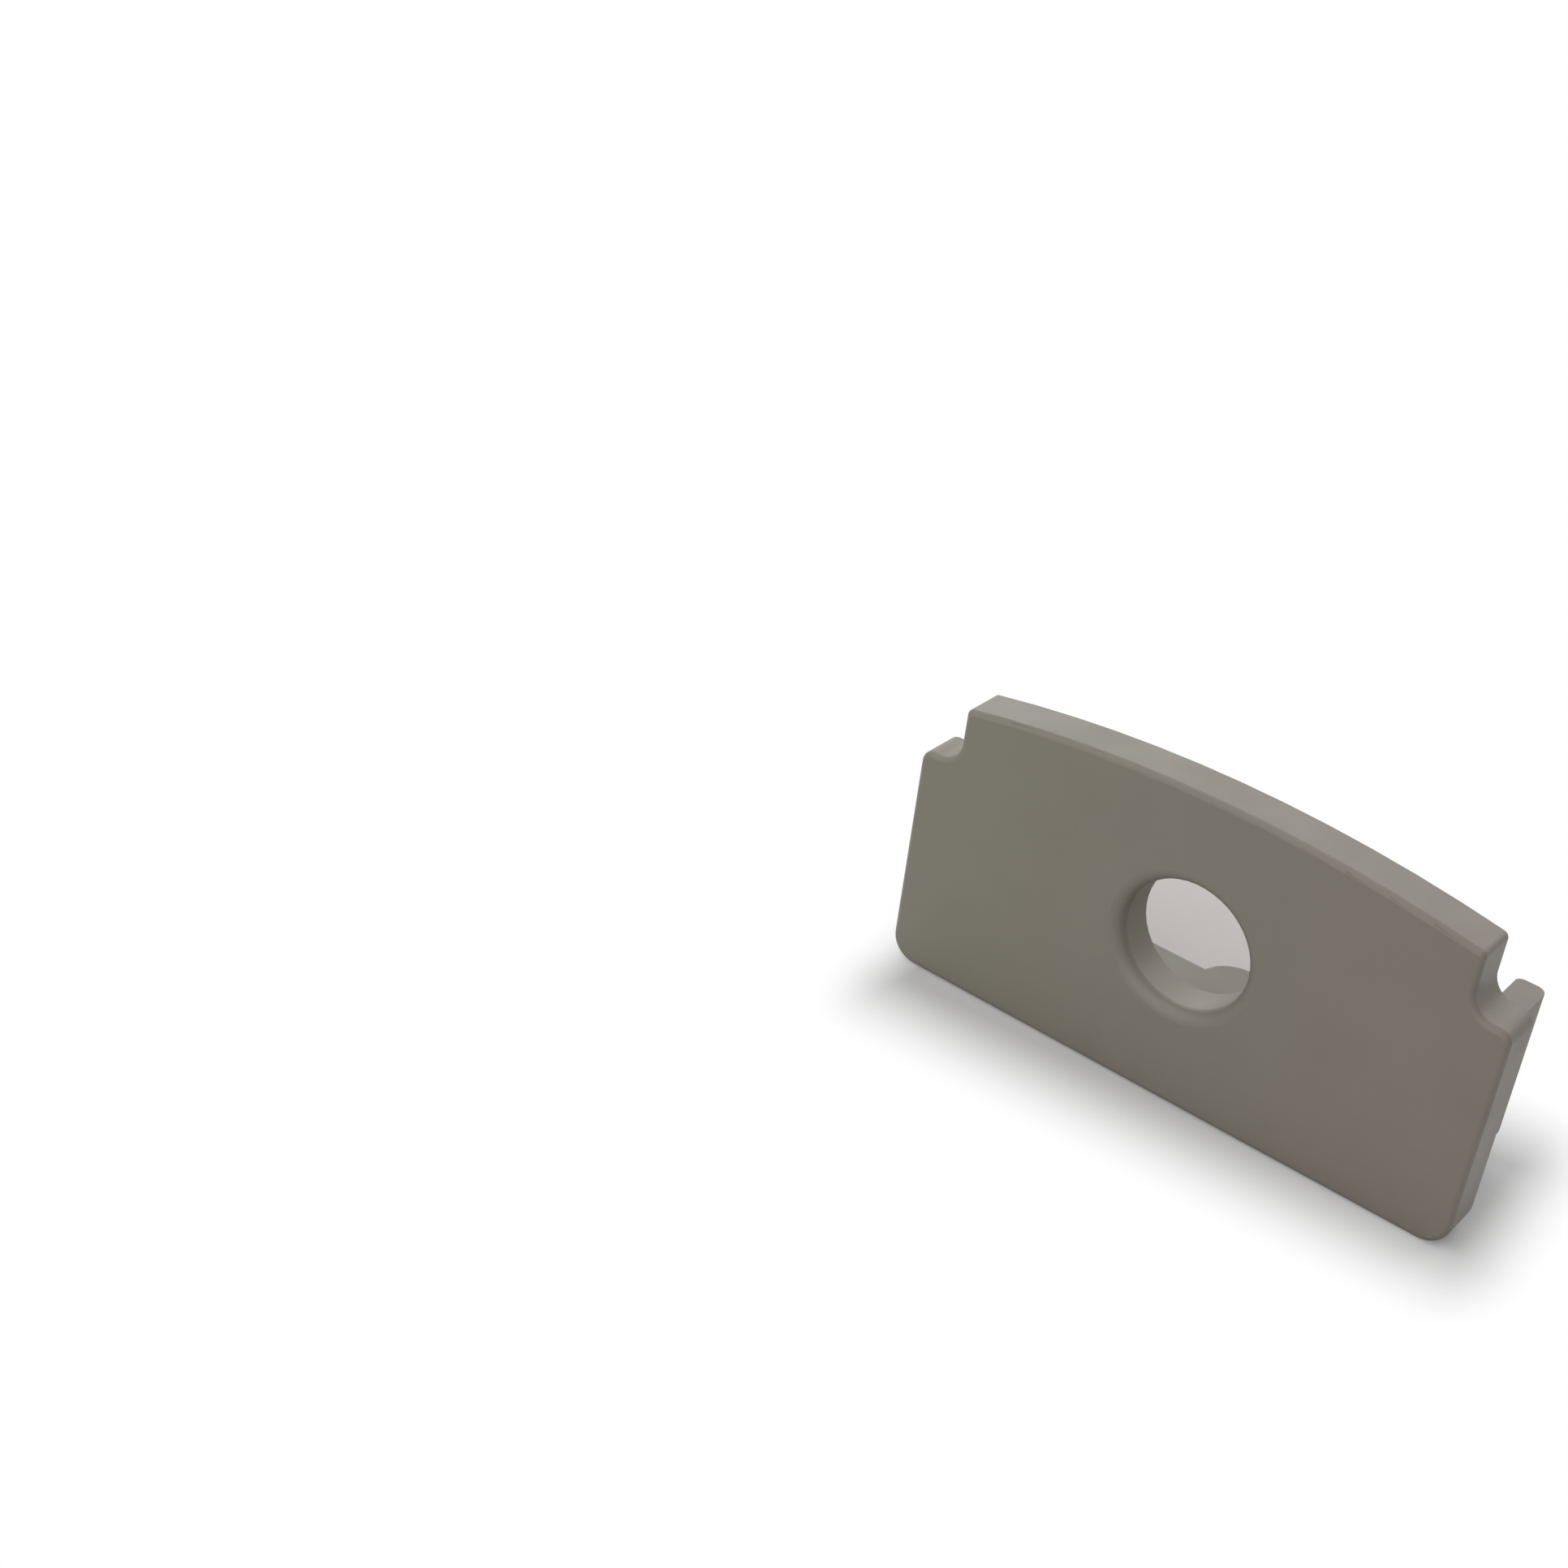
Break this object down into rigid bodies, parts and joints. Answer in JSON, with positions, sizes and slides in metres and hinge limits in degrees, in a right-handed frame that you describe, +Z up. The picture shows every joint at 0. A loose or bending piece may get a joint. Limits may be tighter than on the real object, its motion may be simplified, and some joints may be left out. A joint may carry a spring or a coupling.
{
  "type": "profile end cap",
  "caption": "Moulded end cap for a channel profile with a domed cover: notched plate with an arched top, round cable hole, and a U-shaped plug with a half-round tab behind.",
  "frame": {"origin": "middle of the plate's lower back edge, where the profile's end plane and base meet", "axes": "+X along the plate, to the right as seen from the front; +Y from the plate back into the profile; +Z up from the base to the arched top"},
  "size_m": [0.017, 0.0051, 0.009],
  "materials": {
    "moulded_plastic": "satin moulded ABS, warm grey"
  },
  "bodies": {
    "root": {"end_cap": "moulded_plastic"}
  },
  "joints": []
}
